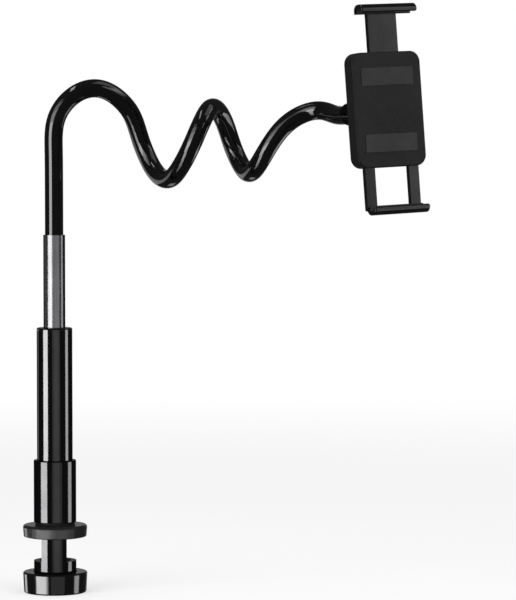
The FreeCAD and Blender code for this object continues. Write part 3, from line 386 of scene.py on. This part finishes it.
def skin(name, low, high):
    """A closed stretch of the sleeve with true round normals."""
    count = max(2, math.ceil((high - low) / SKIN_STEP))
    side = Vector((1, 0, 0))
    points, normals = [], []
    for i in range(count + 1):
        s = low + (high - low) * i / count
        point, heading = on_neck(max(s, 0.0))
        if s < 0:
            point = point + heading * s
        side = upright_to(heading, side)
        outs = spokes(heading, side, SKIN_AROUND)
        points += [point + out * NECK_RADIUS for out in outs]
        normals += outs
    faces = tube_faces(count + 1, SKIN_AROUND)
    piece = smooth_piece(name, points, faces, "neck_sleeve_black")
    sides = faces[:-2]
    loop_normals = [normals[v] for face in sides for v in face]
    loop_normals += [-on_neck(max(low, 0.0))[1]] * SKIN_AROUND + [on_neck(high)[1]] * SKIN_AROUND
    piece.data.normals_split_custom_set(loop_normals)
    return piece


starts = [-NECK_INSERT] + [bend + BEND_HALF for bend in BENDS]
stops = [bend - BEND_HALF for bend in BENDS] + [NECK_LENGTH]
skins = []
for k, (low, high) in enumerate(zip(starts, stops), 1):
    piece = skin("neck_skin_%d" % k, low, high)
    skins.append(piece)
    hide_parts("neck_sleeve_%d" % k)
    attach(piece, "neck_span_%d" % k)
for k, bend in enumerate(BENDS, 1):
    piece = skin("neck_bend_skin_%d" % k, bend - BEND_HALF, bend + BEND_HALF)
    skins.append(piece)
    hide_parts("neck_bend_%d" % k, "neck_bend_core_%d" % k)
    start = on_neck(bend - BEND_HALF)[0]
    end = on_neck(bend + BEND_HALF)[0]
    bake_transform(piece)
    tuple(start)
    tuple(end)


# Holder springs: open coils of wire that stand in for the CAD springs

COIL_RADIUS = 0.0018
COIL_TURNS = 40
TURN_STEPS = 14
WIRE_RADIUS = 0.0003
WIRE_AROUND = 8
EYE_OUTSIDE = 0.0029
EYE_RADIUS = 0.0021
EYE_STEPS = 18
EYE_SHARE = 0.95


def joint_axis(name):
    found = [joint for joint in frame["joints"] if joint["name"] == name]
    return Vector(found[0]["axis"]).normalized()


def middle_of(values):
    return (min(values) + max(values)) / 2


def eye_line(centre, upward, across, shares):
    """Points round a post, at shares of a turn from the upward direction."""
    turns = [2 * math.pi * share for share in shares]
    return [centre + (upward * math.cos(a) + across * math.sin(a)) * EYE_RADIUS for a in turns]


def spring_line(points, along, depth, across):
    """The wire's line, and both ends of its coil: an eye, the coil and an eye."""
    heights = [p.dot(along) for p in points]
    centre = across * middle_of([p.dot(across) for p in points])
    centre += depth * middle_of([p.dot(depth) for p in points])
    first = centre + along * (min(heights) + EYE_OUTSIDE)
    last = centre + along * (max(heights) - EYE_OUTSIDE)
    near, far = first + along * EYE_RADIUS, last - along * EYE_RADIUS
    rounds = [i / EYE_STEPS * EYE_SHARE for i in range(EYE_STEPS + 1)]
    line = eye_line(first, along, across, [share + 1 - EYE_SHARE for share in rounds[:-1]])
    steps = COIL_TURNS * TURN_STEPS
    for i in range(steps + 1):
        reach = min(1, 2 * i / TURN_STEPS, 2 * (steps - i) / TURN_STEPS)
        turn = 2 * math.pi * i / TURN_STEPS
        out = across * math.cos(turn) + depth * math.sin(turn)
        line.append(near.lerp(far, i / steps) + out * (COIL_RADIUS * reach))
    line += eye_line(last, -along, across, rounds[1:])
    return line, near, far


def spring(node, slide, count):
    """Stands for one CAD node of one or two springs, between the holder and the arm."""
    along = joint_axis(slide)
    across = joint_axis("holder_spin").cross(along).normalized()
    depth = along.cross(across)
    corners = [vertex.co.copy() for vertex in nodes[node].data.vertices]
    groups = [corners]
    if count == 2:
        middle = middle_of([p.dot(across) for p in corners])
        groups = [[p for p in corners if (p.dot(across) - middle) * way > 0] for way in (-1, 1)]
    points, faces = [], []
    for group in groups:
        line, near, far = spring_line(group, along, depth, across)
        faces += tube_faces(len(line), WIRE_AROUND, len(points))
        side = depth
        for i, point in enumerate(line):
            heading = (line[min(i + 1, len(line) - 1)] - line[max(i - 1, 0)]).normalized()
            side = upright_to(heading, side)
            points += [point + out * WIRE_RADIUS for out in spokes(heading, side, WIRE_AROUND)]
    piece = smooth_piece(node + "_coil", points, faces, "spring_steel")
    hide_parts(node)
    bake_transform(piece)
    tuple(near)
    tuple(far)
    return piece


springs = [
    spring("upper_arm_spring", "upper_arm_slide", 1),
    spring("lower_arm_springs", "lower_arm_slide", 2),
]


# Floor: pale and matt, keeping the shadow near the object and meeting the white background

FLOOR_MIDDLE = (0.05, 0.0, cad_box[0][2])
FLOOR_HALF = 8.0
FLOOR_GREY = (0.55, 0.55, 0.55, 1)
WHITE = (1, 1, 1, 1)
NEAR_GLOW = 0.53
FAR_GLOW = 1.0
SHADOW_REACH = (0.5, 2.4)


def floor_material():
    """Matt with a glow near the object, and plain white to the camera further out."""
    material = bpy.data.materials.new("floor")
    material.use_nodes = True
    tree = material.node_tree
    tree.nodes.clear()
    link = tree.links.new
    to_camera = shader_node(tree, "LightPath").outputs["Is Camera Ray"]
    distance = shader_node(tree, "VectorMath", operation="LENGTH")
    link(shader_node(tree, "TexCoord").outputs["Object"], distance.inputs[0])
    reach = shader_node(tree, "MapRange", interpolation_type="SMOOTHSTEP")
    reach.inputs["From Min"].default_value, reach.inputs["From Max"].default_value = SHADOW_REACH
    link(distance.outputs["Value"], reach.inputs["Value"])
    seen = shader_node(tree, "Math", operation="MULTIPLY")
    link(reach.outputs["Result"], seen.inputs[0])
    link(to_camera, seen.inputs[1])
    glows = []
    for level in (NEAR_GLOW, FAR_GLOW):
        strength = shader_node(tree, "Math", operation="MULTIPLY")
        strength.inputs[1].default_value = level
        link(to_camera, strength.inputs[0])
        glow = shader_node(tree, "Emission")
        glow.inputs["Color"].default_value = WHITE
        link(strength.outputs[0], glow.inputs["Strength"])
        glows.append(glow.outputs[0])
    diffuse = shader_node(tree, "BsdfDiffuse")
    diffuse.inputs["Color"].default_value = FLOOR_GREY
    near = shader_node(tree, "AddShader")
    link(diffuse.outputs[0], near.inputs[0])
    link(glows[0], near.inputs[1])
    blend = shader_node(tree, "MixShader")
    link(seen.outputs[0], blend.inputs["Fac"])
    link(near.outputs[0], blend.inputs[1])
    link(glows[1], blend.inputs[2])
    link(blend.outputs[0], shader_node(tree, "OutputMaterial").inputs["Surface"])
    return material


corners = [(x * FLOOR_HALF, y * FLOOR_HALF, 0) for x, y in ((-1, -1), (1, -1), (1, 1), (-1, 1))]
floor_mesh = bpy.data.meshes.new("floor")
floor_mesh.from_pydata(corners, [], [range(len(corners))])
floor_mesh.materials.append(floor_material())
floor = bpy.data.objects.new("floor", floor_mesh)
floor.location = FLOOR_MIDDLE
scene.collection.objects.link(floor)
floor.visible_glossy = False
floor.visible_transmission = False


# World: white to the camera, dark to the gloss but for a glow behind the object, and soft light

BEHIND = (0, 1, -0.05)
BEHIND_RANGE = (0.86, 0.93)
GLOSS_LEVELS = (0.04, 0.25)
SOFT_LEVEL = 0.42
CAMERA_LEVEL = 1.0

world = bpy.data.worlds.new("world")
scene.world = world
world.use_nodes = True
tree = world.node_tree
tree.nodes.clear()
link = tree.links.new
path = shader_node(tree, "LightPath")
backward = shader_node(tree, "VectorMath", operation="DOT_PRODUCT")
backward.inputs[1].default_value = BEHIND
link(shader_node(tree, "TexCoord").outputs["Generated"], backward.inputs[0])
glossy = shader_node(tree, "Mix", data_type="FLOAT")
glossy.inputs["A"].default_value = SOFT_LEVEL
link(path.outputs["Is Glossy Ray"], glossy.inputs["Factor"])
link(ranged(tree, backward.outputs["Value"], BEHIND_RANGE, GLOSS_LEVELS), glossy.inputs["B"])
seen = shader_node(tree, "Mix", data_type="FLOAT")
seen.inputs["B"].default_value = CAMERA_LEVEL
link(path.outputs["Is Camera Ray"], seen.inputs["Factor"])
link(glossy.outputs["Result"], seen.inputs["A"])
background = shader_node(tree, "Background")
background.inputs["Color"].default_value = WHITE
link(seen.outputs["Result"], background.inputs["Strength"])
link(background.outputs[0], shader_node(tree, "OutputWorld").inputs["Surface"])


# Studio: far panels that show in the gloss of the pieces named with them, and three soft boxes

MIDDLE = Vector((0.1, -0.02, 0.2))
NECK_MIDDLE = Vector((0.13, -0.01, 0.37))
STRIP_DISTANCE = 6.0
LAYER_GAP = 0.1
PATCH_DISTANCE = 6.5


def outward(azimuth, elevation):
    """Unit vector; azimuth 0 is the camera's side, in degrees."""
    a, e = math.radians(azimuth), math.radians(elevation)
    return Vector((math.sin(a) * math.cos(e), -math.cos(a) * math.cos(e), math.sin(e)))


def lamp(name, place, towards, width, height, radiance):
    data = bpy.data.lights.new(name, "AREA")
    data.shape = "RECTANGLE"
    data.size = width
    data.size_y = height
    data.energy = radiance * math.pi * width * height
    item = bpy.data.objects.new(name, data)
    item.location = place
    item.rotation_mode = "QUATERNION"
    item.rotation_quaternion = (towards - place).to_track_quat("-Z", "Y")
    scene.collection.objects.link(item)
    item.visible_camera = False
    item.visible_transmission = False
    return item


def panel(pieces, name, *place_and_size):
    """A lamp that shows in the gloss of these pieces alone."""
    item = lamp(name, *place_and_size)
    group = bpy.data.collections.new(name + "_pieces")
    for piece in pieces:
        group.objects.link(piece)
    item.light_linking.receiver_collection = group
    item.visible_diffuse = False


def width_at(distance, angles):
    """How wide a panel is that fills these two angles from a distance."""
    return 2 * distance * math.tan(math.radians(angles[1] - angles[0]) / 2)


def strip(pieces, name, azimuths, heights, radiance, layer):
    """An upright panel between two azimuths and two heights, for the clamp and the mast."""
    distance = STRIP_DISTANCE + LAYER_GAP * layer
    towards = Vector((0, 0, sum(heights) / 2))
    place = towards + outward(sum(azimuths) / 2, 0) * distance
    size = (width_at(distance, azimuths), heights[1] - heights[0])
    panel(pieces, name, place, towards, *size, radiance)


def patch(pieces, name, azimuths, elevations, radiance):
    """A panel between two azimuths and two elevations, for the neck and the holder."""
    elevation = sum(elevations) / 2
    place = NECK_MIDDLE + outward(sum(azimuths) / 2, elevation) * PATCH_DISTANCE
    width = width_at(PATCH_DISTANCE, azimuths) * math.cos(math.radians(elevation))
    height = width_at(PATCH_DISTANCE, elevations)
    panel(pieces, name, place, NECK_MIDDLE, width, height, radiance)


def named(*names):
    return [nodes[name] for name in names]


knob_side = named(
    "knob", "knob_hub", "knob_screws", "end_ring", "plunger", "plunger_pad", "clamp_screw"
)
flange_side = named("upper_flange", "upper_flange_pad", "swivel_washer")
sleeve_side = named("lower_sleeve", "clamp_body", "guide_screw")
mast_side = named("mast_tube", "mast_top_cap", "mast_bush")
tube_side = named("inner_tube")
column = knob_side + flange_side + sleeve_side + mast_side + tube_side
arms = named("upper_arm", "lower_arm", "upper_jaw_pad", "lower_jaw_pad")
neck_side = skins + named("neck_end_ferrule")
head_side = springs + [item for item in nodes.values() if item not in column + neck_side]

# Pieces and heights, and for each panel its name, azimuths, radiance and layer behind the first
STRIPS = (
    (knob_side, (-2.2, -0.7), (
        ("knob_left", (-70, -31), 2.52, 0),
        ("knob_left_soft", (-70, -26), 1.89, 1),
        ("knob_left_softer", (-70, -22), 1.68, 2),
        ("knob_left_back", (-139, -122), 2.18, 0),
        ("knob_right", (78, 99), 2.35, 0),
        ("knob_card", (-12, 38), 0.203, 0),
    )),
    (flange_side, (-2.6, -0.5), (
        ("flange_left", (-70, -14), 3.6, 0),
        ("flange_left_soft", (-90, -2), 1.8, 1),
        ("flange_left_back", (-140, -119), 2.25, 0),
        ("flange_card", (-14, 76), 0.88, 0),
        ("flange_card_soft", (-14, 50), 0.6, 1),
    )),
    (sleeve_side, (-1.0, -0.4), (
        ("sleeve_left", (-78, -40), 5.8, 0),
        ("sleeve_right", (80, 104), 2.88, 0),
        ("sleeve_card", (-12, 42), 0.24, 0),
        ("sleeve_card_middle", (-2, 28), 0.168, 1),
    )),
    (mast_side, (-0.75, 0.0), (
        ("mast_left", (-74, -42), 7.4, 0),
        ("mast_left_back", (-141, -125), 1.4, 0),
        ("mast_right", (78, 99), 3.5, 0),
        ("mast_card", (-12, 38), 0.25, 0),
        ("mast_card_middle", (-2, 28), 0.17, 1),
    )),
    (tube_side, (-0.6, 0.5), (
        ("tube_left", (-66, -20), 11.5, 0),
        ("tube_left_back", (-130, -80), 0.4, 0),
        ("tube_right", (80, 104), 3.0, 0),
        ("tube_card", (-20, 60), 1.7, 0),
    )),
)
# Name, azimuths, elevations and radiance
NECK_PATCHES = (
    ("left_middle", (-54, -29), (-30, -4), 2.73),
    ("left_upper", (-59, -25), (-4, 15), 3.78),
    ("left_high", (-66, -22), (15, 32), 1.76),
    ("left_top", (-72, -20), (32, 43), 0.966),
    ("left_topmost", (-72, -30), (43, 50), 0.378),
    ("left_lower", (-60, -32), (-42, -30), 1.93),
    ("left_lowest", (-70, -36), (-54, -42), 1.09),
    ("left_back_lower", (-156, -96), (-24, -7), 0.63),
    ("right_rise", (48, 66), (14, 28), 0.968),
    ("right_bow", (66, 84), (26, 37), 1.17),
    ("right_bow_end", (84, 110), (32, 43), 0.912),
    ("right_high", (56, 124), (43, 72), 0.45),
    ("right_back_low", (96, 130), (-38, -20), 1.56),
    ("behind_low", (176, 216), (-60, -46), 0.88),
    ("right_back", (100, 124), (-20, -7), 1.08),
)
HEAD_PATCHES = (
    ("head_left", (-60, -24), (-40, 30), 0.96),
    ("head_right", (60, 90), (-30, 40), 0.54),
)
# Pieces, name, azimuth and elevation, size, and radiance
OVERHEADS = (
    (skins, "overhead_line", (-80, 70), (3.8, 0.8), 2.4),
    (arms, "ceiling_panel", (-70, 77), (5.4, 2.6), 1.5),
)
# Name, azimuth and elevation, distance, width, and radiance
SOFT_BOXES = (
    ("key", (-45, 50), 2.2, 1.2, 3.0),
    ("fill", (50, 40), 2.4, 1.4, 1.6),
    ("top", (0, 88), 2.4, 1.6, 1.2),
)

for pieces, heights, rows in STRIPS:
    for name, azimuths, radiance, layer in rows:
        strip(pieces, name, azimuths, heights, radiance, layer)
for row in NECK_PATCHES:
    patch(neck_side, *row)
for pieces, name, angles, size, radiance in OVERHEADS:
    place = NECK_MIDDLE + outward(*angles) * PATCH_DISTANCE
    panel(pieces, name, place, NECK_MIDDLE, *size, radiance)
for row in HEAD_PATCHES:
    patch(head_side, *row)
for name, angles, distance, width, radiance in SOFT_BOXES:
    soft_box = lamp(name, MIDDLE + outward(*angles) * distance, MIDDLE, width, width, radiance)
    soft_box.visible_glossy = False

scene.view_settings.view_transform = "Standard"
